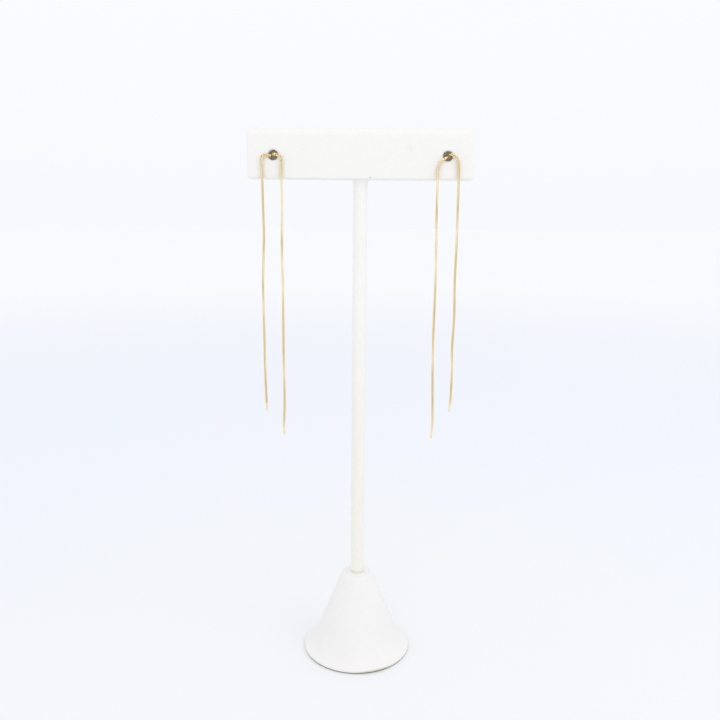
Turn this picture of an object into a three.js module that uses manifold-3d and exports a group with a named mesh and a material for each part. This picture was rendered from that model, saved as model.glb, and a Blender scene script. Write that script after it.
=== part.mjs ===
// A pair of box chain threader earrings on a T-bar display stand, in millimetres.
//
// +Z is up and the bar runs along X. Its front, where the earrings hang, faces -Y. The origin is
// the centre of the foot's underside. The stand is a flared round base on a thin foot, a round
// post and a flat bar with a blind hole at each side. Each earring is one long fine chain, folded
// at its middle: the fold is tucked into a hole, and the two strands come out of the hole's mouth
// sideways, turn down over the bar's face and hang free, each to its soldered end.

import * as THREE from 'three';
import { mergeVertices } from 'three/addons/utils/BufferGeometryUtils.js';
import Module from 'manifold-3d';

const manifold = await Module();
manifold.setup();

// Driving dimensions of the stand.
const TOTAL_HEIGHT = 198;
const BAR_WIDTH = 79;
const BAR_HEIGHT = 17.4;
const BAR_DEPTH = 10;
const BAR_TOP_RADIUS = 2.8;
const BAR_FOOT_RADIUS = 0.6;
const BAR_END_RADIUS = 0.5;
const HOLE_DIAMETER = 3.5;
const HOLE_DEPTH = 4.2;
const HOLE_OFFSET = 30.4;
const HOLE_RISE = 7.9;
const POST_DIAMETER = 5;
const POST_COLLAR_DIAMETER = 6.4;
const POST_COLLAR_HEIGHT = 2.4;
const BAR_SOCKET_DEPTH = 8;
const BASE_SOCKET_DEPTH = 15;
const BASE_DIAMETER = 41;
const BASE_TOP_DIAMETER = 12.4;
const BASE_HEIGHT = 30.4;
const BASE_FLARE_DIAMETER = 30.6;
const BASE_FLARE_HEIGHT = 6.6;
const BASE_RIM_HEIGHT = 0.5;
const BASE_SHOULDER = 0.9;
const FOOT_DIAMETER = 40.2;
const FOOT_THICKNESS = 0.6;

// Driving dimensions of the chains, and the gap that pieces which touch keep between them.
const CHAIN_DIAMETER = 0.85;
const END_DIAMETER = 0.7;
const END_LENGTH = 3.2;
const END_OVERLAP = 0.6;
const GAP = 0.3;

// How finely round forms are divided.
const ROUND_SIDES = 48;
const CHAIN_SIDES = 8;
const STEPS_PER_POINT = 2;

const BAR_UNDERSIDE = TOTAL_HEIGHT - BAR_HEIGHT;
const HOLE_HEIGHT = BAR_UNDERSIDE + HOLE_RISE;
const BAR_FRONT = -BAR_DEPTH / 2;
const STRAND_PLANE = BAR_FRONT - GAP - CHAIN_DIAMETER / 2;

// Each chain's route from its outer free end, through the hole, to its inner free end. The
// columns are x across and z up from the hole's centre, and y inwards from the strands' plane.
const LEFT_ROUTE = [
  // the outer strand, from its free end up
  [-3.2, 0, -91.4], [-3.4, 0, -86], [-3.7, 0, -74], [-3.8, 0, -60], [-4.0, 0, -46], [-3.6, 0, -34],
  [-3.4, 0, -27], [-3.6, 0, -17], [-3.7, 0, -8], [-3.8, 0, -3],
  // the square turn on to the bar's face, and the run to the hole
  [-3.85, 0, -1.4], [-3.65, 0, -0.6], [-3.1, 0, -0.3], [-2.2, 0, -0.25], [-1.5, 0.1, -0.25],
  // into the hole, round the fold and out again
  [-1.05, 0.7, -0.2], [-0.95, 1.8, -0.2], [-0.9, 2.9, -0.15], [-0.35, 3.5, -0.05],
  [0.2, 2.9, 0.05], [0.2, 1.8, 0.15], [0.25, 0.7, 0.25],
  // the sloping run to the inner turn
  [0.75, 0.1, 0.2], [1.6, 0, -0.15], [2.5, 0, -0.6], [2.95, 0, -1.2], [3.0, 0, -2.4],
  // the inner strand, down to its free end
  [2.9, 0, -6], [3.1, 0, -14], [3.0, 0, -26], [2.9, 0, -37], [3.1, 0, -44], [3.1, 0, -58],
  [3.2, 0, -76], [3.3, 0, -88], [3.0, 0, -97], [3.1, 0, -100.4],
];
const RIGHT_ROUTE = [
  // the outer strand, from its free end up
  [3.0, 0, -91], [3.4, 0, -86], [3.6, 0, -76], [3.4, 0, -67], [3.8, 0, -56], [3.6, 0, -44],
  [3.8, 0, -31], [3.85, 0, -17], [3.8, 0, -7], [3.65, 0, -3.2],
  // the turn on to the bar's face, and the run up to the hole
  [3.45, 0, -1.7], [2.9, 0, -0.75], [2.1, 0, -0.05], [1.4, 0.1, 0.35],
  // into the hole, round the fold and out again
  [0.9, 0.7, 0.5], [0.75, 1.8, 0.4], [0.65, 2.9, 0.25], [0.1, 3.5, 0.05],
  [-0.45, 2.9, -0.2], [-0.5, 1.8, -0.4], [-0.6, 0.7, -0.55],
  // the low run and the round turn to the inner strand
  [-1.1, 0.1, -0.85], [-1.8, 0, -1.35], [-2.6, 0, -2.2], [-3.2, 0, -3.5], [-3.5, 0, -5.4],
  // the inner strand, down to its free end
  [-3.5, 0, -9], [-3.5, 0, -22], [-3.3, 0, -36], [-3.3, 0, -47], [-3.5, 0, -60], [-3.4, 0, -78],
  [-3.1, 0, -90], [-3.0, 0, -96], [-3.4, 0, -101.2],
];

const leatherette = new THREE.MeshStandardMaterial({ color: 0xf3f1ec, roughness: 0.55, metalness: 0 });
const footing = new THREE.MeshStandardMaterial({ color: 0x847f74, roughness: 0.9, metalness: 0 });
const gold = new THREE.MeshStandardMaterial({ color: 0xd9b768, roughness: 0.22, metalness: 1 });

/** A smooth route whose steps bunch where its points do, so that tight turns get the most. */
class ChainRoute extends THREE.CatmullRomCurve3 {
  getUtoTmapping(u) {
    return u;
  }
}

function toSolid(geometry) {
  const bare = geometry.clone();
  bare.deleteAttribute('normal');
  bare.deleteAttribute('uv');
  const welded = mergeVertices(bare, 1e-4);
  const mesh = new manifold.Mesh({
    numProp: 3,
    vertProperties: new Float32Array(welded.attributes.position.array),
    triVerts: new Uint32Array(welded.index.array),
  });
  return new manifold.Manifold(mesh);
}

function toGeometry(solid) {
  const mesh = solid.getMesh();
  const geometry = new THREE.BufferGeometry();
  geometry.setAttribute('position', new THREE.BufferAttribute(mesh.vertProperties, 3));
  geometry.setIndex(new THREE.BufferAttribute(mesh.triVerts, 1));
  geometry.computeVertexNormals();
  return geometry;
}

/** A cylinder along Y, from a point inwards. */
function borePlug(diameter, length, x, front, z) {
  const plug = new THREE.CylinderGeometry(diameter / 2, diameter / 2, length, ROUND_SIDES / 2);
  return plug.translate(x, front + length / 2, z);
}

/** A solid turned about Z from its half outline, whose first and last points are on the axis. */
function turned(outline) {
  return new THREE.LatheGeometry(outline, ROUND_SIDES).rotateX(Math.PI / 2);
}

function roundedEndProfile(width, height) {
  const half = width / 2;
  const profile = new THREE.Shape();
  profile.absarc(half - BAR_FOOT_RADIUS, BAR_FOOT_RADIUS, BAR_FOOT_RADIUS, -Math.PI / 2, 0);
  profile.absarc(half - BAR_TOP_RADIUS, height - BAR_TOP_RADIUS, BAR_TOP_RADIUS, 0, Math.PI / 2);
  profile.absarc(BAR_TOP_RADIUS - half, height - BAR_TOP_RADIUS, BAR_TOP_RADIUS, Math.PI / 2, Math.PI);
  profile.absarc(BAR_FOOT_RADIUS - half, BAR_FOOT_RADIUS, BAR_FOOT_RADIUS, Math.PI, 1.5 * Math.PI);
  return profile;
}

/** The bar: one block with soft top edges, a blind hole at each side and a socket for the post. */
function barGeometry() {
  const block = new THREE.ExtrudeGeometry(roundedEndProfile(BAR_DEPTH, BAR_HEIGHT), {
    depth: BAR_WIDTH - 2 * BAR_END_RADIUS,
    bevelThickness: BAR_END_RADIUS,
    bevelSize: BAR_END_RADIUS,
    bevelOffset: -BAR_END_RADIUS,
    bevelSegments: 2,
    curveSegments: 4,
  });
  block.translate(0, 0, BAR_END_RADIUS - BAR_WIDTH / 2);
  block.rotateX(Math.PI / 2).rotateZ(Math.PI / 2).translate(0, 0, BAR_UNDERSIDE);

  let bar = toSolid(block);
  for (const x of [-HOLE_OFFSET, HOLE_OFFSET]) {
    const plug = borePlug(HOLE_DIAMETER, HOLE_DEPTH + 1, x, BAR_FRONT - 1, HOLE_HEIGHT);
    bar = bar.subtract(toSolid(plug));
  }
  const socketRadius = POST_DIAMETER / 2 + GAP;
  const socket = new THREE.CylinderGeometry(socketRadius, socketRadius, BAR_SOCKET_DEPTH + 1, ROUND_SIDES);
  socket.rotateX(Math.PI / 2).translate(0, 0, BAR_UNDERSIDE + (BAR_SOCKET_DEPTH - 1) / 2);
  return toGeometry(bar.subtract(toSolid(socket)));
}

/** The post: a plain round rod with a small collar under the bar, seated in both its sockets. */
function postGeometry() {
  const radius = POST_DIAMETER / 2;
  const collarRadius = POST_COLLAR_DIAMETER / 2;
  const bottom = FOOT_THICKNESS + GAP + BASE_HEIGHT - BASE_SOCKET_DEPTH + GAP;
  const collarTop = BAR_UNDERSIDE - GAP;
  const top = BAR_UNDERSIDE + BAR_SOCKET_DEPTH - GAP;
  const outline = new THREE.Path();
  outline.moveTo(0, bottom);
  outline.lineTo(radius, bottom);
  outline.lineTo(radius, collarTop - POST_COLLAR_HEIGHT);
  outline.quadraticCurveTo(radius, collarTop - 0.3 * POST_COLLAR_HEIGHT, collarRadius, collarTop);
  outline.lineTo(radius, collarTop);
  outline.lineTo(radius, top);
  outline.lineTo(0, top);
  return turned(outline.getPoints(4));
}

/** The base: a straight cone that flares out low to its rim, with a soft shoulder and a blind socket. */
function baseGeometry() {
  const low = FOOT_THICKNESS + GAP;
  const top = low + BASE_HEIGHT;
  const rim = BASE_DIAMETER / 2;
  const neck = BASE_TOP_DIAMETER / 2;
  const flare = BASE_FLARE_DIAMETER / 2;
  const taper = (flare - neck) / (BASE_HEIGHT - BASE_SHOULDER - BASE_FLARE_HEIGHT);
  const sweep = 0.7 * BASE_FLARE_HEIGHT;
  const socket = POST_DIAMETER / 2 + GAP;
  const outline = new THREE.Path();
  outline.moveTo(0, low);
  outline.lineTo(rim, low);
  outline.lineTo(rim, low + BASE_RIM_HEIGHT);
  const flareTop = low + BASE_FLARE_HEIGHT;
  outline.quadraticCurveTo(flare + taper * sweep, flareTop - sweep, flare, flareTop);
  outline.lineTo(neck, top - BASE_SHOULDER);
  outline.quadraticCurveTo(neck - 0.3 * BASE_SHOULDER, top, neck - BASE_SHOULDER, top);
  outline.lineTo(socket, top);
  outline.lineTo(socket, top - BASE_SOCKET_DEPTH);
  outline.lineTo(0, top - BASE_SOCKET_DEPTH);
  return turned(outline.getPoints(10));
}

/** The foot: a thin disc under the base, whose dark edge shows below the rim. */
function footGeometry() {
  const radius = FOOT_DIAMETER / 2;
  const outline = [[0, 0], [radius, 0], [radius, FOOT_THICKNESS], [0, FOOT_THICKNESS]];
  return turned(outline.map(([r, z]) => new THREE.Vector2(r, z)));
}

/** A smooth soldered end, from inside the chain's last link outwards. */
function endGeometry(from, to) {
  const direction = to.clone().sub(from).normalize();
  const length = END_LENGTH + END_OVERLAP - END_DIAMETER;
  const end = new THREE.CapsuleGeometry(END_DIAMETER / 2, length, 3, CHAIN_SIDES);
  const middle = to.clone().addScaledVector(direction, -(length + END_DIAMETER) / 2);
  end.applyQuaternion(new THREE.Quaternion().setFromUnitVectors(new THREE.Vector3(0, 1, 0), direction));
  return end.translate(middle.x, middle.y, middle.z);
}

/** One earring: a chain that follows its whole route, with a smooth end soldered on each strand. */
function chainGeometry(route, holeX) {
  const points = route.map(([x, y, z]) => new THREE.Vector3(holeX + x, STRAND_PLANE + y, HOLE_HEIGHT + z));
  const last = points.length - 1;
  const ends = [[points[1], points[0]], [points[last - 1], points[last]]];
  let earring = null;
  const tube = points.map((point) => point.clone());
  for (const [index, [from, to]] of ends.entries()) {
    const direction = to.clone().sub(from).normalize();
    tube[index === 0 ? 0 : last].addScaledVector(direction, -END_LENGTH);
    const end = toSolid(endGeometry(from, to));
    earring = earring === null ? end : earring.add(end);
  }
  const section = new THREE.Shape().absarc(0, 0, CHAIN_DIAMETER / 2, 0, 2 * Math.PI);
  const chain = new THREE.ExtrudeGeometry(section, {
    steps: STEPS_PER_POINT * last,
    curveSegments: CHAIN_SIDES / 2,
    extrudePath: new ChainRoute(tube),
  });
  return toGeometry(earring.add(toSolid(chain)));
}

function piece(name, geometry, material) {
  const mesh = new THREE.Mesh(geometry, material);
  mesh.name = name;
  return mesh;
}

const stand = new THREE.Group();
stand.add(
  piece('stand_foot', footGeometry(), footing),
  piece('stand_base', baseGeometry(), leatherette),
  piece('stand_post', postGeometry(), leatherette),
  piece('stand_bar', barGeometry(), leatherette),
);

const earrings = new THREE.Group();
earrings.add(
  piece('left_chain', chainGeometry(LEFT_ROUTE, -HOLE_OFFSET), gold),
  piece('right_chain', chainGeometry(RIGHT_ROUTE, HOLE_OFFSET), gold),
);

const display = new THREE.Group();
display.add(stand, earrings);

export default display;
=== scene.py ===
"""Looks of a pair of box chain threader earrings on a T-bar display stand.

All of it is in metres in the model's own frame: +Z is up, the bar runs along X and its front,
where the earrings hang, faces -Y. Sizes named in millimetres are multiplied by MM where used.
"""

import math

import bpy
import bmesh
import numpy as np
from mathutils import Matrix, Vector, noise


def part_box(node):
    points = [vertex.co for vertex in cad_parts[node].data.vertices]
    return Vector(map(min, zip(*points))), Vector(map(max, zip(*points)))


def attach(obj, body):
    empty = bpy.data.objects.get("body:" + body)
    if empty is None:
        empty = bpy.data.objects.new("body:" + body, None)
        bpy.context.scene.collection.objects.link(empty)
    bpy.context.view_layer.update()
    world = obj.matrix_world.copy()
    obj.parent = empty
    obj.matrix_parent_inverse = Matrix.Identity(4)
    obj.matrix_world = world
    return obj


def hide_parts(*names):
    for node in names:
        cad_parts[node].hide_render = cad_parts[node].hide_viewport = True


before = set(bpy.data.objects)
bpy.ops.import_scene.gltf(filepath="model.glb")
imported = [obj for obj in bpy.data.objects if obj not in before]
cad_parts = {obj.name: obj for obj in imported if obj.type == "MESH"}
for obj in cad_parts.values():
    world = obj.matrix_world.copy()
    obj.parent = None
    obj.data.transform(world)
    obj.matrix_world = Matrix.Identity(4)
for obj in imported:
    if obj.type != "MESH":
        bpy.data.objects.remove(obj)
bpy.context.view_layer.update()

MM = 0.001
BODY = "root"

# The camera: where it stands, how it is turned, and its lens on a 36 mm sensor.
CAMERA_PLACE = (3.8, -268.1, 165.15)
CAMERA_PITCH = 10.5
CAMERA_YAW = 0.72
CAMERA_ROLL = 0.5
CAMERA_LENS = 36.7

# Sizes of the stand that its boxes don't give, in millimetres.
HOLE_OFFSET = 30.4
HOLE_RISE = 7.9
HOLE_RADIUS = 1.75
HOLE_DEPTH = 4.2
HOLE_SQUARE = 3.0
BAR_TOP_RADIUS = 2.8
BAR_FOOT_RADIUS = 0.6
BAR_END_RADIUS = 0.5
POST_RADIUS = 2.5
COLLAR_RADIUS = 3.2
COLLAR_HEIGHT = 2.4
NECK_RADIUS = 6.2
NECK_SHOULDER = 0.9
FLARE_RADIUS = 15.3
FLARE_HEIGHT = 6.6
RIM_HEIGHT = 0.5
RIM_DROP = 0.66

# The sky's colours above and at the horizon, and the floor's from the stand outwards, whose change with
# distance is painted light and shade.
SKY_ABOVE = (0.955, 0.968, 1.0)
SKY_LOW = (0.930, 0.948, 0.99)
FLOOR_NEAR = (0.890, 0.898, 0.905)
FLOOR_MIDDLE = (0.882, 0.899, 0.940)
FLOOR_FAR = (0.985, 0.985, 0.990)

# How far the floor runs, in millimetres.
FLOOR_RADIUS = 30000.0

# The leatherette's tone on each piece, and where it yellows down the post, in millimetres.
BAR_TONE = (0.930, 0.914, 0.874)
POST_TOP_TONE = (0.940, 0.926, 0.893)
POST_LOW_TONE = (0.910, 0.890, 0.815)
BASE_TONE = (0.908, 0.888, 0.866)
POST_FADE = (150.0, 70.0)

# The box chain and its soldered ends, in millimetres.
GAP = 0.3
CHAIN_WIDTH = 0.85
LINK_PITCH = 0.48
LINK_LENGTH = 0.79
LINK_WIRE = 0.15
LINK_BAND = 0.50
END_RADIUS = 0.35
END_LENGTH = 3.2

# Each chain's route, from its outer free end through the hole to its inner one, in millimetres:
# x across and z up from the hole's centre, and y inwards from the strands' plane.
LEFT_ROUTE = [
    (-3.2, 0, -91.4), (-3.4, 0, -86), (-3.7, 0, -74), (-3.8, 0, -60), (-4.0, 0, -46),
    (-3.6, 0, -34), (-3.4, 0, -27), (-3.6, 0, -17), (-3.7, 0, -8), (-3.8, 0, -3),
    (-3.85, 0, -1.4), (-3.65, 0, -0.6), (-3.1, 0, -0.3), (-2.2, 0, -0.25), (-1.5, 0.1, -0.25),
    (-1.05, 0.7, -0.2), (-0.95, 1.8, -0.2), (-0.9, 2.9, -0.15), (-0.35, 3.5, -0.05),
    (0.2, 2.9, 0.05), (0.2, 1.8, 0.15), (0.25, 0.7, 0.25),
    (0.75, 0.1, 0.2), (1.6, 0, -0.15), (2.5, 0, -0.6), (2.95, 0, -1.2), (3.0, 0, -2.4),
    (2.9, 0, -6), (3.1, 0, -14), (3.0, 0, -26), (2.9, 0, -37), (3.1, 0, -44), (3.1, 0, -58),
    (3.2, 0, -76), (3.3, 0, -88), (3.0, 0, -97), (3.1, 0, -100.4),
]
RIGHT_ROUTE = [
    (3.0, 0, -91), (3.4, 0, -86), (3.6, 0, -76), (3.4, 0, -67), (3.8, 0, -56), (3.6, 0, -44),
    (3.8, 0, -31), (3.85, 0, -17), (3.8, 0, -7), (3.65, 0, -3.2),
    (3.45, 0, -1.7), (2.9, 0, -0.75), (2.1, 0, -0.05), (1.4, 0.1, 0.35),
    (0.9, 0.7, 0.5), (0.75, 1.8, 0.4), (0.65, 2.9, 0.25), (0.1, 3.5, 0.05),
    (-0.45, 2.9, -0.2), (-0.5, 1.8, -0.4), (-0.6, 0.7, -0.55),
    (-1.1, 0.1, -0.85), (-1.8, 0, -1.35), (-2.6, 0, -2.2), (-3.2, 0, -3.5), (-3.5, 0, -5.4),
    (-3.5, 0, -9), (-3.5, 0, -22), (-3.3, 0, -36), (-3.3, 0, -47), (-3.5, 0, -60),
    (-3.4, 0, -78), (-3.1, 0, -90), (-3.0, 0, -96), (-3.4, 0, -101.2),
]


# ---------------------------------------------------------------------------------------------
# Materials


class Nodes:
    """Short calls for building one material's node tree."""

    def __init__(self, name):
        self.material = bpy.data.materials.new(name)
        self.material.use_nodes = True
        self.tree = self.material.node_tree
        self.shader = self.tree.nodes["Principled BSDF"]
        self.position = self.add("ShaderNodeTexCoord").outputs["Object"]

    def add(self, kind, **settings):
        node = self.tree.nodes.new(kind)
        for key, value in settings.items():
            setattr(node, key, value)
        return node

    def link(self, source, socket):
        self.tree.links.new(source, socket)

    def fixed(self, **values):
        for key, value in values.items():
            self.shader.inputs[key.replace("_", " ")].default_value = value

    def noise(self, scale, detail=2.0, roughness=0.5, distortion=0.0):
        """Noise over space, with its scale given as features to the metre."""
        node = self.add("ShaderNodeTexNoise")
        node.inputs["Scale"].default_value = scale
        node.inputs["Detail"].default_value = detail
        node.inputs["Roughness"].default_value = roughness
        node.inputs["Distortion"].default_value = distortion
        self.link(self.position, node.inputs["Vector"])
        return node.outputs["Fac"]

    def cells(self, scale, warp=0.0):
        """Distance to the nearest wall of a pattern of cells, pushed about by finer noise."""
        node = self.add("ShaderNodeTexVoronoi", feature="DISTANCE_TO_EDGE")
        node.inputs["Scale"].default_value = scale
        vector = self.position
        if warp:
            push = self.add("ShaderNodeTexNoise")
            push.inputs["Scale"].default_value = 0.7 * scale
            self.link(self.position, push.inputs["Vector"])
            add = self.add("ShaderNodeVectorMath", operation="MULTIPLY_ADD")
            add.inputs[1].default_value = (warp, warp, warp)
            self.link(push.outputs["Color"], add.inputs[0])
            self.link(self.position, add.inputs[2])
            vector = add.outputs["Vector"]
        self.link(vector, node.inputs["Vector"])
        return node.outputs["Distance"]

    def ramp(self, source, low, high, to_low=0.0, to_high=1.0, smooth=False):
        node = self.add("ShaderNodeMapRange")
        node.interpolation_type = "SMOOTHSTEP" if smooth else "LINEAR"
        limits = {"From Min": low, "From Max": high, "To Min": to_low, "To Max": to_high}
        for socket, value in limits.items():
            node.inputs[socket].default_value = value
        self.link(source, node.inputs["Value"])
        return node.outputs["Result"]

    def math(self, operation, first, second):
        node = self.add("ShaderNodeMath", operation=operation)
        for socket, value in zip(node.inputs, (first, second)):
            if isinstance(value, (int, float)):
                socket.default_value = value
            else:
                self.link(value, socket)
        return node.outputs["Value"]

    def mix(self, amount, first, second):
        """One colour turning into another; each is a colour or a socket."""
        node = self.add("ShaderNodeMix", data_type="RGBA")
        self.link(amount, node.inputs["Factor"])
        for socket, value in ((node.inputs[6], first), (node.inputs[7], second)):
            if isinstance(value, tuple):
                socket.default_value = (*value, 1.0)
            else:
                self.link(value, socket)
        return node.outputs[2]

    def bump(self, height, distance, strength=1.0, after=None):
        node = self.add("ShaderNodeBump")
        node.inputs["Distance"].default_value = distance
        node.inputs["Strength"].default_value = strength
        self.link(height, node.inputs["Height"])
        if after is not None:
            self.link(after, node.inputs["Normal"])
        return node.outputs["Normal"]

    def near(self, centre, reach, soft, stretch=(1.0, 1.0, 1.0)):
        """1 close to a point, falling to 0 over the soft distance beyond the reach, in metres."""
        offset = self.add("ShaderNodeVectorMath", operation="SUBTRACT")
        offset.inputs[1].default_value = centre
        self.link(self.position, offset.inputs[0])
        scaled = self.add("ShaderNodeVectorMath", operation="MULTIPLY")
        scaled.inputs[1].default_value = stretch
        self.link(offset.outputs["Vector"], scaled.inputs[0])
        length = self.add("ShaderNodeVectorMath", operation="LENGTH")
        self.link(scaled.outputs["Vector"], length.inputs[0])
        return self.ramp(length.outputs["Value"], reach, reach + soft, 1.0, 0.0, smooth=True)


def leatherette(name, tone, low_tone=None, marks=()):
    """White leatherette: a fine pebble grain, faint mottling, and marks where given.

    With a low tone, the colour turns into it down the piece."""
    n = Nodes(name)
    pebble = n.ramp(n.cells(1500, warp=0.0004), 0.0, 0.22, smooth=True)
    fine = n.noise(5200, detail=3)
    mottle = n.ramp(n.noise(110, detail=4, roughness=0.6), 0.35, 0.65)
    colour = tone
    if low_tone is not None:
        height = n.add("ShaderNodeSeparateXYZ")
        n.link(n.position, height.inputs["Vector"])
        fade = n.ramp(height.outputs["Z"], POST_FADE[0] * MM, POST_FADE[1] * MM, smooth=True)
        colour = n.mix(fade, tone, low_tone)
    colour = n.mix(n.ramp(mottle, 0.0, 1.0, 0.06, 0.0), colour, tuple(0.75 * c for c in tone))
    # The grain's valleys are painted a little darker: painted shade.
    colour = n.mix(n.ramp(pebble, 0.0, 1.0, 0.10, 0.0), colour, tuple(0.75 * c for c in tone))
    for mark in marks:
        stretch = mark.get("stretch", (1.0, 1.0, 1.0))
        amount = n.near(mark["centre"], mark["reach"], mark["soft"], stretch)
        grain = n.noise(mark.get("grain", 900), detail=3)
        broken = n.ramp(grain, 0.38, 0.60, mark.get("least", 0.4), 1.0)
        amount = n.math("MULTIPLY", amount, broken)
        colour = n.mix(n.math("MULTIPLY", amount, mark["strength"]), colour, mark["colour"])
    n.link(colour, n.shader.inputs["Base Color"])
    n.link(n.ramp(fine, 0.3, 0.7, 0.46, 0.60), n.shader.inputs["Roughness"])
    coarse = n.bump(pebble, 0.00003, 0.55)
    n.link(n.bump(fine, 0.00001, 0.35, after=coarse), n.shader.inputs["Normal"])
    n.fixed(Specular_IOR_Level=0.42)
    return n.material


def board_core():
    """The inside of a punched hole: pale fibre board."""
    n = Nodes("board_core")
    fibre = n.noise(2600, detail=4, roughness=0.7)
    tone = n.mix(n.ramp(fibre, 0.3, 0.7), (0.84, 0.79, 0.70), (0.94, 0.90, 0.82))
    n.link(tone, n.shader.inputs["Base Color"])
    n.link(n.bump(fibre, 0.0001, 0.6), n.shader.inputs["Normal"])
    n.fixed(Roughness=0.95, Subsurface_Weight=0.85, Subsurface_Scale=0.0022)
    n.shader.inputs["Subsurface Radius"].default_value = (1.0, 0.95, 0.85)
    return n.material


def foot_material():
    """Dull grey-brown pressed card with a fine fibrous edge."""
    n = Nodes("foot_card")
    fibre = n.noise(3200, detail=4, roughness=0.65)
    tone = n.mix(n.ramp(fibre, 0.3, 0.7), (0.19, 0.18, 0.15), (0.28, 0.265, 0.215))
    n.link(tone, n.shader.inputs["Base Color"])
    n.link(n.ramp(fibre, 0.3, 0.7, 0.75, 0.92), n.shader.inputs["Roughness"])
    n.link(n.bump(fibre, 0.00004, 0.5), n.shader.inputs["Normal"])
    return n.material


def gold_material(name, pale, deep, dull):
    """Pale yellow gold, a little warmer and duller in patches."""
    n = Nodes(name)
    tone = n.noise(240, detail=2)
    scuff = n.noise(9000, detail=2)
    n.link(n.mix(n.ramp(tone, 0.35, 0.65), pale, deep), n.shader.inputs["Base Color"])
    n.link(n.ramp(scuff, 0.3, 0.7, dull, dull + 0.12), n.shader.inputs["Roughness"])
    n.link(n.bump(scuff, 0.000002, 0.3), n.shader.inputs["Normal"])
    n.fixed(Metallic=1.0)
    return n.material


# ---------------------------------------------------------------------------------------------
# Meshes


def add_object(name, points, faces, materials, face_materials=None, sharp=None):
    """A smooth-shaded mesh object from points in millimetres."""
    mesh = bpy.data.meshes.new(name)
    mesh.from_pydata((np.asarray(points, float) * MM).tolist(), [], faces)
    for material in materials:
        mesh.materials.append(material)
    if face_materials is not None:
        mesh.polygons.foreach_set("material_index", face_materials)
    mesh.shade_smooth()
    if sharp is not None:
        mesh.set_sharp_from_angle(angle=math.radians(sharp))
    obj = bpy.data.objects.new(name, mesh)
    bpy.context.scene.collection.objects.link(obj)
    return obj


def add_piece(name, points, faces, materials, node, face_materials=None, sharp=None):
    """A visible piece that rides on the body and stands for one CAD node."""
    obj = add_object(name, points, faces, materials, face_materials, sharp)
    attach(obj, BODY)
    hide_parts(node)
    return obj


def node_box(node):
    """A CAD node's lowest and highest corners, in millimetres."""
    low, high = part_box(node)
    return low / MM, high / MM


def between(start, end, step):
    """Even stations from start up to but not including end, about a step apart."""
    count = max(1, round(abs(end - start) / step))
    return [start + (end - start) * i / count for i in range(count)]


def arc(centre, radius, start, end, count):
    """Points with their outward normals on an arc, its last point left out."""
    angles = [math.radians(start + (end - start) * i / count) for i in range(count)]
    return [
        ((centre[0] + radius * math.cos(a), centre[1] + radius * math.sin(a)), (math.cos(a), math.sin(a)))
        for a in angles
    ]


def curve_through(points, control, end, count):
    """Points on a quadratic curve from the outline's last point, appended to it."""
    start = points[-1]
    for i in range(1, count + 1):
        t = i / count
        points.append(tuple(
            (1 - t) ** 2 * a + 2 * t * (1 - t) * b + t * t * c for a, b, c in zip(start, control, end)
        ))


def turned(outline, sides, shape):
    """Points and faces of an outline of (radius, height) turned about Z, closed at both ends.

    The first and last outline points are on the axis; shape moves each point in or out."""
    points = [(0.0, 0.0, outline[0][1])]
    for radius, height in outline[1:-1]:
        for k in range(sides):
            angle = 2 * math.pi * k / sides
            r = radius + shape(angle, radius, height)
            points.append((r * math.cos(angle), r * math.sin(angle), height))
    points.append((0.0, 0.0, outline[-1][1]))
    rings = len(outline) - 2
    faces = [(0, 1 + (k + 1) % sides, 1 + k) for k in range(sides)]
    for ring in range(rings - 1):
        for k in range(sides):
            a, b = 1 + ring * sides + k, 1 + ring * sides + (k + 1) % sides
            faces.append((a, b, b + sides, a + sides))
    last = len(points) - 1
    top = 1 + (rings - 1) * sides
    faces += [(top + k, top + (k + 1) % sides, last) for k in range(sides)]
    return points, faces


def ripple(point, wavelength, height):
    """A gentle unevenness of wrapped leatherette, in millimetres."""
    return height * noise.noise(Vector(point) / wavelength)


# ---------------------------------------------------------------------------------------------
# The stand


def make_foot(material):
    high = node_box("stand_foot")[1]
    radius, top = high.x, high.z
    edge = 0.15
    outline = [(0, 0), (0.5 * radius, 0), (radius - edge, 0), (radius, edge), (radius, top - edge)]
    outline += [(radius - edge, top), (0.5 * radius, top), (0, top)]
    points, faces = turned(outline, 160, lambda angle, r, z: 0.0)
    add_piece("foot_card", points, faces, [material], "stand_foot", sharp=50)


def seam_ridge(angle, radius, width, height):
    """The overlap of the wrap's edges down the back of a round piece."""
    offset = math.remainder(angle - math.pi / 2, 2 * math.pi) * radius
    return height * math.exp(-((offset / width) ** 2))


def make_base(material):
    low, high = node_box("stand_base")
    rim, bottom, top = high.x, low.z - RIM_DROP, high.z
    taper = (FLARE_RADIUS - NECK_RADIUS) / (top - low.z - NECK_SHOULDER - FLARE_HEIGHT)
    sweep = 0.7 * FLARE_HEIGHT
    outline = [(0, bottom), (0.6 * rim, bottom), (rim - 1.2, bottom)]
    curve_through(outline, (rim, bottom), (rim, low.z + 0.1), 5)
    outline.append((rim, low.z + 0.6 * RIM_HEIGHT))
    curve_through(outline, (rim, low.z + RIM_HEIGHT + 0.1), (rim - 0.5, low.z + RIM_HEIGHT + 0.25), 4)
    flare = low.z + FLARE_HEIGHT
    curve_through(outline, (FLARE_RADIUS + taper * sweep, flare - sweep), (FLARE_RADIUS, flare), 16)
    shoulder = top - NECK_SHOULDER
    for height in between(flare, shoulder, 0.8)[1:]:
        outline.append((NECK_RADIUS + taper * (shoulder - height), height))
    outline.append((NECK_RADIUS, shoulder))
    curve_through(outline, (NECK_RADIUS - 0.2, top), (NECK_RADIUS - NECK_SHOULDER, top), 6)
    outline += [(4.2, top), (3.3, top), (2.6, top + 0.12), (0, top + 0.12)]

    def shape(angle, radius, height):
        place = (radius * math.cos(angle), radius * math.sin(angle), height)
        return ripple(place, 9.0, 0.05) + seam_ridge(angle, radius, 0.5, 0.12)

    points, faces = turned(outline, 160, shape)
    add_piece("base_cover", points, faces, [material], "stand_base")


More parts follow.
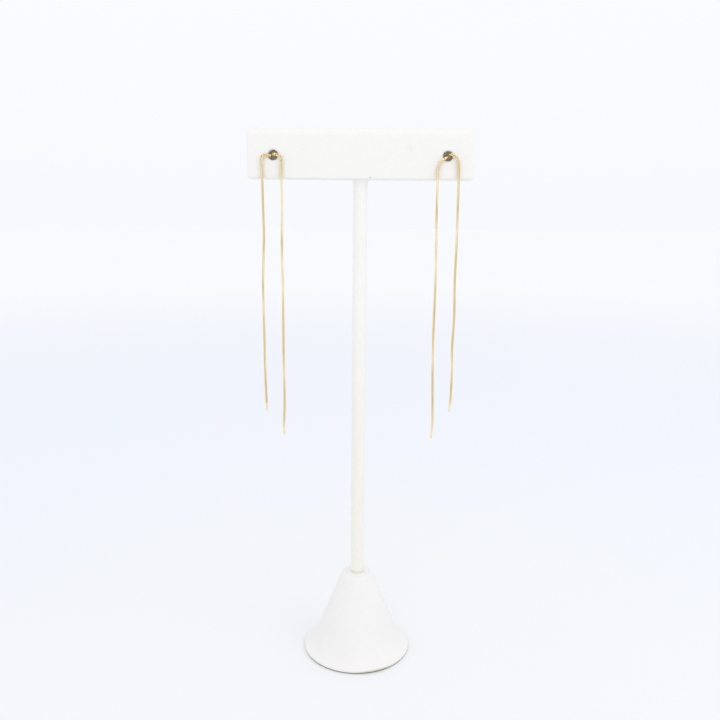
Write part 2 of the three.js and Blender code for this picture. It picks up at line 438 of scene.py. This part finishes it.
def make_post(material):
    bottom = node_box("stand_base")[1].z - 0.3
    top = node_box("stand_bar")[0].z + 0.1
    collar = top - 0.1
    outline = [(0, bottom), (POST_RADIUS, bottom)]
    outline += [(POST_RADIUS, z) for z in between(bottom, collar - COLLAR_HEIGHT, 2.0)[1:]]
    outline.append((POST_RADIUS, collar - COLLAR_HEIGHT))
    curve_through(outline, (POST_RADIUS, collar - 0.3 * COLLAR_HEIGHT), (COLLAR_RADIUS, collar), 8)
    outline += [(COLLAR_RADIUS - 0.2, top), (0, top)]

    def shape(angle, radius, height):
        place = (radius * math.cos(angle), radius * math.sin(angle), height)
        return ripple(place, 5.0, 0.04) + seam_ridge(angle, radius, 0.35, 0.10)

    points, faces = turned(outline, 48, shape)
    add_piece("post_cover", points, faces, [material], "stand_post")


def bar_section(depth, bottom, top, hole_height):
    """The bar's outline as (y, z) points with outward normals, and how many are on its front."""
    half = depth / 2
    foot, crown = BAR_FOOT_RADIUS, BAR_TOP_RADIUS
    rises = between(bottom + foot, hole_height - HOLE_SQUARE, 0.9)
    first = len(rises)
    rises += between(hole_height - HOLE_SQUARE, hole_height + HOLE_SQUARE, 0.5)
    last = len(rises)
    rises += between(hole_height + HOLE_SQUARE, top - crown, 0.9)
    section = [((-half, z), (-1.0, 0.0)) for z in rises]
    section += arc((crown - half, top - crown), crown, 180, 90, 8)
    section += [((y, top), (0.0, 1.0)) for y in between(crown - half, half - crown, 0.9)]
    section += arc((half - crown, top - crown), crown, 90, 0, 8)
    section += [((half, z), (1.0, 0.0)) for z in between(top - crown, bottom + foot, 0.9)]
    section += arc((half - foot, bottom + foot), foot, 0, -90, 4)
    section += [((y, bottom), (0.0, -1.0)) for y in between(half - foot, foot - half, 0.9)]
    section += arc((foot - half, bottom + foot), foot, -90, -180, 4)
    return section, first, last


def bar_stations(low, high):
    """Each lengthwise station as (x, inset), with the numbers of those at each hole's square."""
    end = BAR_END_RADIUS
    squares = []
    stations = []
    for i in range(5):
        a = math.radians(90 * (1 - i / 5))
        stations.append((low + end - end * math.sin(a), end * (1 - math.cos(a))))
    flat = []
    start = low + end
    for hole in (-HOLE_OFFSET, HOLE_OFFSET):
        flat += between(start, hole - HOLE_SQUARE, 0.9)
        first = len(stations) + len(flat)
        flat += between(hole - HOLE_SQUARE, hole + HOLE_SQUARE, 0.5)
        squares.append((hole, first, len(stations) + len(flat)))
        start = hole + HOLE_SQUARE
    flat += between(start, high - end, 0.9)
    stations += [(x, 0.0) for x in flat]
    for i in range(6):
        a = math.radians(90 * i / 5)
        stations.append((high - end + end * math.sin(a), end * (1 - math.cos(a))))
    return stations, squares


# The mouth of a punched hole: radius and depth of each ring, from the flat face to the wall.
HOLE_MOUTH = [
    (2.75, 0.0), (2.5, 0.01), (2.3, 0.04), (2.1, 0.09), (1.95, 0.17), (1.83, 0.3), (1.77, 0.48), (1.75, 0.7),
]


def add_hole(points, faces, kinds, border, centre, front):
    """Closes one square of the bar's face with a soft-rimmed blind hole."""
    ring = border
    angles = [math.atan2(points[i][2] - centre[1], points[i][0] - centre[0]) for i in border]
    steps = [(radius, depth, 0) for radius, depth in HOLE_MOUTH]
    steps += [(HOLE_RADIUS, depth, 1) for depth in (1.6, 2.4, 3.3, HOLE_DEPTH)]
    steps += [(1.2, HOLE_DEPTH, 1), (0.6, HOLE_DEPTH, 1)]
    for radius, depth, kind in steps:
        start = len(points)
        for a in angles:
            x = centre[0] + radius * math.cos(a)
            z = centre[1] + radius * math.sin(a)
            points.append((x, front + depth, z))
        new = list(range(start, len(points)))
        for k in range(len(ring)):
            nxt = (k + 1) % len(ring)
            faces.append((ring[k], ring[nxt], new[nxt], new[k]))
            kinds.append(kind)
        ring = new
    points.append((centre[0], front + HOLE_DEPTH, centre[1]))
    for k in range(len(ring)):
        faces.append((ring[k], ring[(k + 1) % len(ring)], len(points) - 1))
        kinds.append(1)


def close_end(points, faces, kinds, border, middle, outwards):
    """Fills one end of the bar with shrinking rings that meet at its middle."""
    ring = border
    for scale in (0.8, 0.55, 0.3, 0.12):
        start = len(points)
        for i in border:
            x, y, z = points[i]
            points.append((x, y * scale, middle + (z - middle) * scale))
        new = list(range(start, len(points)))
        join_rings(faces, kinds, ring, new, outwards)
        ring = new
    points.append((points[ring[0]][0], 0.0, middle))
    last = len(points) - 1
    for k in range(len(ring)):
        pair = (ring[k], ring[(k + 1) % len(ring)])
        faces.append((*pair, last) if outwards else (*reversed(pair), last))
        kinds.append(0)


def join_rings(faces, kinds, ring, new, outwards):
    """A band of leatherette faces from one ring of points to the next."""
    for k in range(len(ring)):
        nxt = (k + 1) % len(ring)
        face = (ring[k], ring[nxt], new[nxt], new[k])
        faces.append(face if outwards else tuple(reversed(face)))
        kinds.append(0)


def make_bar(material, core):
    low, high = node_box("stand_bar")
    hole_height = low.z + HOLE_RISE
    section, first_rise, last_rise = bar_section(high.y - low.y, low.z, high.z, hole_height)
    stations, squares = bar_stations(low.x, high.x)
    around = len(section)
    points, faces, kinds = [], [], []
    for x, inset in stations:
        for (y, z), (ny, nz) in section:
            on_front = ny == -1.0
            swell = ripple((x, y, z), 16.0, 0.03) if on_front else ripple((x, y, z), 12.0, 0.05)
            points.append((x, y - ny * (inset - swell), z - nz * (inset - swell)))
    for i in range(len(stations) - 1):
        in_square = any(a <= i < b for _, a, b in squares)
        for k in range(around):
            if in_square and first_rise <= k < last_rise:
                continue
            nxt = (k + 1) % around
            a, b = i * around, (i + 1) * around
            faces.append((a + k, a + nxt, b + nxt, b + k))
            kinds.append(0)
    for hole, a, b in squares:
        border = [i * around + first_rise for i in range(a, b)]
        border += [b * around + k for k in range(first_rise, last_rise)]
        border += [i * around + last_rise for i in range(b, a, -1)]
        border += [a * around + k for k in range(last_rise, first_rise, -1)]
        add_hole(points, faces, kinds, border, (hole, hole_height), low.y)
    middle = (low.z + high.z) / 2
    for station, outwards in ((0, True), (len(stations) - 1, False)):
        border = [station * around + k for k in range(around)]
        close_end(points, faces, kinds, border, middle, outwards)
    obj = add_piece("bar_cover", points, faces, [material, core], "stand_bar", kinds)
    tidy_normals(obj)


def tidy_normals(obj):
    """Turns every face outwards."""
    bm = bmesh.new()
    bm.from_mesh(obj.data)
    bmesh.ops.recalc_face_normals(bm, faces=bm.faces)
    bm.to_mesh(obj.data)
    bm.free()


# ---------------------------------------------------------------------------------------------
# The chains


def smooth_route(route, hole_x, hole_height, plane):
    """Fine points along the route's smooth curve, in millimetres."""
    p = np.array([(hole_x + x, plane + y, hole_height + z) for x, y, z in route])
    p = np.vstack([2 * p[0] - p[1], p, 2 * p[-1] - p[-2]])
    fine = []
    for a, b, c, d in zip(p[:-3], p[1:-2], p[2:-1], p[3:]):
        pairs = ((a, b), (b, c), (c, d))
        d0, d1, d2 = (max(math.sqrt(np.linalg.norm(v - u)), 1e-6) for u, v in pairs)
        m1 = ((b - a) / d0 - (c - a) / (d0 + d1) + (c - b) / d1) * d1
        m2 = ((c - b) / d1 - (d - b) / (d1 + d2) + (d - c) / d2) * d1
        for t in np.arange(0, 1, 1 / 40):
            square = (3 * (c - b) - 2 * m1 - m2) * t**2
            cube = (2 * (b - c) + m1 + m2) * t**3
            fine.append(b + m1 * t + square + cube)
    fine.append(p[-2])
    return np.array(fine)


def resample(fine, distances):
    """Points and directions at the given distances along a fine polyline."""
    steps = np.linalg.norm(np.diff(fine, axis=0), axis=1)
    along = np.concatenate([[0], np.cumsum(steps)])
    place = np.stack([np.interp(distances, along, fine[:, k]) for k in range(3)], axis=1)
    ahead = np.stack([np.interp(distances + 0.1, along, fine[:, k]) for k in range(3)], axis=1)
    behind = np.stack([np.interp(distances - 0.1, along, fine[:, k]) for k in range(3)], axis=1)
    direction = ahead - behind
    return place, direction / np.linalg.norm(direction, axis=1)[:, None]


def route_length(fine):
    return float(np.linalg.norm(np.diff(fine, axis=0), axis=1).sum())


def carried_frames(directions, start):
    """A sideways vector at each direction, carried along without twisting."""
    sides = []
    side = np.array(start, float)
    for direction in directions:
        side = side - direction * side.dot(direction)
        side = side / np.linalg.norm(side)
        sides.append(side)
    return np.array(sides)


def link_template():
    """One box link about its centre: a square loop of flat wire that lies in the X-Z plane.

    The inside of its wire takes the second gold, darker and duller: painted shade inside the links."""
    half_w, half_l = (CHAIN_WIDTH - LINK_WIRE) / 2, (LINK_LENGTH - LINK_WIRE) / 2
    corner = 0.11
    path = []
    for sx, sz, start in ((1, 1, 0), (-1, 1, 90), (-1, -1, 180), (1, -1, 270)):
        for step in range(3):
            a = math.radians(start + 45 * step)
            normal = (math.cos(a), math.sin(a))
            x = sx * (half_w - corner) + corner * normal[0]
            z = sz * (half_l - corner) + corner * normal[1]
            path.append((x, z, normal))
    t, b, c = LINK_WIRE / 2, LINK_BAND / 2, 0.035
    section = [(t, c - b), (t, b - c), (t - c, b), (c - t, b)]
    section += [(-t, b - c), (-t, c - b), (c - t, -b), (t - c, -b)]
    points = [
        (x + out * normal[0], side, z + out * normal[1]) for x, z, normal in path for out, side in section
    ]
    rounds, sides = len(path), len(section)
    faces = []
    for i in range(rounds):
        for k in range(sides):
            a, b2 = i * sides, (i + 1) % rounds * sides
            nxt = (k + 1) % sides
            faces.append((a + k, a + nxt, b2 + nxt, b2 + k))
    # Faces on the inside of the wire take the second gold, painted darker as shade.
    kinds = [1 if k in (3, 4, 5) else 0 for _ in range(rounds) for k in range(sides)]
    return np.array(points), np.array(faces), kinds


def end_rod(tip, direction):
    """A smooth round-tipped rod that runs back from a strand's tip to its last link."""
    outline = [(0, 0)]
    for i in range(1, 7):
        a = math.radians(90 * i / 6)
        outline.append((END_RADIUS * math.sin(a), END_RADIUS * (1 - math.cos(a))))
    outline += [(END_RADIUS, END_LENGTH - 0.25), (END_RADIUS - 0.07, END_LENGTH - 0.05), (0, END_LENGTH)]
    points, faces = turned(outline, 20, lambda angle, r, z: 0.0)
    turn = Vector((0, 0, -1)).rotation_difference(Vector(direction)).to_matrix()
    placed = [tuple(np.array(turn @ Vector(p)) + tip) for p in points]
    return placed, faces


def chain_roll(distance, turns):
    """How far the chain is twisted at a distance along it, in radians."""
    roll = 0.0
    for size, length, start in turns:
        roll += math.radians(size) * math.sin(2 * math.pi * distance / length + start)
    return roll


def make_chain(name, node, route, side, turns, materials):
    """One earring: box links along the whole route, and a smooth soldered end on each strand."""
    bar_low = node_box("stand_bar")[0]
    plane = bar_low.y - GAP - CHAIN_WIDTH / 2
    fine = smooth_route(route, side * HOLE_OFFSET, bar_low.z + HOLE_RISE, plane)
    total = route_length(fine)
    count = int((total - 2 * END_LENGTH) // LINK_PITCH)
    start = (total - count * LINK_PITCH) / 2
    distances = start + LINK_PITCH * (np.arange(count) + 0.5)
    places, directions = resample(fine, distances)
    sides = carried_frames(directions, (0, -1, 0))
    template, link_faces, link_kinds = link_template()
    points, faces, kinds = [], [], link_kinds * count
    for i in range(count):
        quarter = math.pi / 2 * (i % 2)
        roll = quarter + chain_roll(distances[i], turns)
        z = directions[i]
        u = sides[i]
        v = np.cross(z, u)
        x = u * math.cos(roll) + v * math.sin(roll)
        y = np.cross(z, x)
        faces.extend((link_faces + len(points)).tolist())
        points.extend((places[i] + template @ np.array([x, y, z])).tolist())
    for tip, inner in ((fine[0], fine[8]), (fine[-1], fine[-9])):
        rod_points, rod_faces = end_rod(tip, (tip - inner) / np.linalg.norm(tip - inner))
        faces.extend([tuple(i + len(points) for i in face) for face in rod_faces])
        kinds = kinds + [0] * len(rod_faces)
        points.extend(rod_points)
    add_piece(name, points, faces, materials, node, kinds, sharp=35)


# ---------------------------------------------------------------------------------------------
# The room: a pale floor and sky, a soft light and the camera


def make_floor():
    """A pale floor that runs out to the horizon, deepest in tone at a middle distance and lighter far off:
    painted light and shade.
    """
    n = Nodes("floor")
    n.fixed(Roughness=1.0, Specular_IOR_Level=0.0)
    # Painted light and shade: the floor's colour changes with distance from the stand.
    near_tone = n.near((0.0, 0.0, 0.0), 0.03, 0.25)
    far_tone = n.near((0.0, 0.0, 0.0), 0.3, 1.5)
    tone = n.mix(far_tone, FLOOR_FAR, FLOOR_MIDDLE)
    n.link(n.mix(near_tone, tone, FLOOR_NEAR), n.shader.inputs["Base Color"])
    sides = 96
    points, faces = [(0.0, 0.0, 0.0)], []
    radii = [FLOOR_RADIUS * 0.1 ** (k / 2) for k in range(6, -1, -1)]
    for radius in radii:
        for k in range(sides):
            a = 2 * math.pi * k / sides
            points.append((radius * math.cos(a), radius * math.sin(a), 0.0))
    faces += [(0, 1 + k, 1 + (k + 1) % sides) for k in range(sides)]
    for ring in range(len(radii) - 1):
        for k in range(sides):
            a, b = 1 + ring * sides + k, 1 + ring * sides + (k + 1) % sides
            faces.append((a, a + sides, b + sides, b))
    add_object("floor", points, faces, [n.material])


def make_light(name, place, aim, size, power, colour):
    data = bpy.data.lights.new(name, "AREA")
    data.shape = "RECTANGLE"
    data.size, data.size_y = size
    data.energy = power
    data.color = colour
    obj = bpy.data.objects.new(name, data)
    obj.location = place
    obj.rotation_euler = (Vector(aim) - Vector(place)).to_track_quat("-Z", "Y").to_euler()
    obj.visible_camera = False
    bpy.context.scene.collection.objects.link(obj)


def make_world():
    """A pale sky all round, a little brighter above than below."""
    world = bpy.data.worlds.new("soft_sky")
    world.use_nodes = True
    nodes, links = world.node_tree.nodes, world.node_tree.links
    direction = nodes.new("ShaderNodeTexCoord").outputs["Generated"]
    split = nodes.new("ShaderNodeSeparateXYZ")
    links.new(direction, split.inputs["Vector"])
    rise = nodes.new("ShaderNodeMapRange")
    rise.interpolation_type = "SMOOTHSTEP"
    rise.inputs["From Min"].default_value = 0.0
    rise.inputs["From Max"].default_value = 0.25
    links.new(split.outputs["Z"], rise.inputs["Value"])
    mix = nodes.new("ShaderNodeMix")
    mix.data_type = "RGBA"
    mix.inputs[6].default_value = (*SKY_LOW, 1.0)
    mix.inputs[7].default_value = (*SKY_ABOVE, 1.0)
    links.new(rise.outputs["Result"], mix.inputs["Factor"])
    links.new(mix.outputs[2], nodes["Background"].inputs["Color"])
    bpy.context.scene.world = world


def make_camera():
    """The camera, from its place and its three turns."""
    data = bpy.data.cameras.new("camera")
    data.lens = CAMERA_LENS
    data.sensor_width = 36.0
    data.clip_start = 0.01
    data.clip_end = 100.0
    obj = bpy.data.objects.new("camera", data)
    turn = (
        Matrix.Rotation(math.radians(CAMERA_YAW), 4, "Z")
        @ Matrix.Rotation(math.radians(90 - CAMERA_PITCH), 4, "X")
        @ Matrix.Rotation(math.radians(CAMERA_ROLL), 4, "Z")
    )
    obj.matrix_world = Matrix.Translation(Vector(CAMERA_PLACE) * MM) @ turn
    bpy.context.scene.collection.objects.link(obj)
    bpy.context.scene.camera = obj


def make_room():
    make_floor()
    make_world()
    make_light("key", (0.6, -0.45, 0.75), (0, 0, 0.1), (0.7, 0.7), 0.9, (1.0, 0.96, 0.88))
    make_light("front", (-0.1, -0.85, 0.8), (0, 0, 0.1), (0.6, 0.6), 0.6, (1.0, 0.97, 0.90))
    bpy.context.scene.view_settings.view_transform = "Standard"


def make_stand():
    bar_low = node_box("stand_bar")[0]
    base_low, base_high = node_box("stand_base")
    speck = Vector((3.4, bar_low.y, bar_low.z + 0.4)) * MM
    smudge = Vector((17.4, bar_low.y, bar_low.z + 10.6)) * MM
    # An olive tint low on the base's rim, a little right of the front.
    rim_angle = math.radians(-90 + 22)
    rim = base_high.x
    olive_patch = Vector((rim * math.cos(rim_angle), rim * math.sin(rim_angle), base_low.z - 0.3)) * MM
    bar_marks = [
        {"centre": speck, "reach": 0.00012, "soft": 0.00018, "colour": (0.16, 0.15, 0.14),
         "strength": 0.8, "least": 1.0},
        {"centre": smudge, "reach": 0.0003, "soft": 0.0016, "colour": (0.62, 0.58, 0.55),
         "strength": 0.16},
    ]
    base_marks = [
        {"centre": olive_patch, "reach": 0.0016, "soft": 0.0030, "stretch": (0.50, 0.50, 4.6),
         "colour": (0.40, 0.37, 0.12), "strength": 0.5, "grain": 500, "least": 0.75},
    ]
    make_foot(foot_material())
    make_base(leatherette("base_leatherette", BASE_TONE, marks=base_marks))
    make_post(leatherette("post_leatherette", POST_TOP_TONE, POST_LOW_TONE))
    make_bar(leatherette("bar_leatherette", BAR_TONE, marks=bar_marks), board_core())


def make_earrings():
    gold = [
        gold_material("pale_gold", (0.97, 0.82, 0.50), (0.97, 0.79, 0.45), 0.13),
        # The second gold is painted darker: painted shade for the insides of the links.
        gold_material("painted_shade_gold", (0.64, 0.47, 0.23), (0.56, 0.40, 0.18), 0.30),
    ]
    make_chain("left_box_chain", "left_chain", LEFT_ROUTE, -1, [(55, 88, 0.4), (18, 31, 1.0)], gold)
    make_chain("right_box_chain", "right_chain", RIGHT_ROUTE, 1, [(60, 97, 2.1), (16, 35, 0.2)], gold)


make_camera()
make_room()
make_stand()
make_earrings()
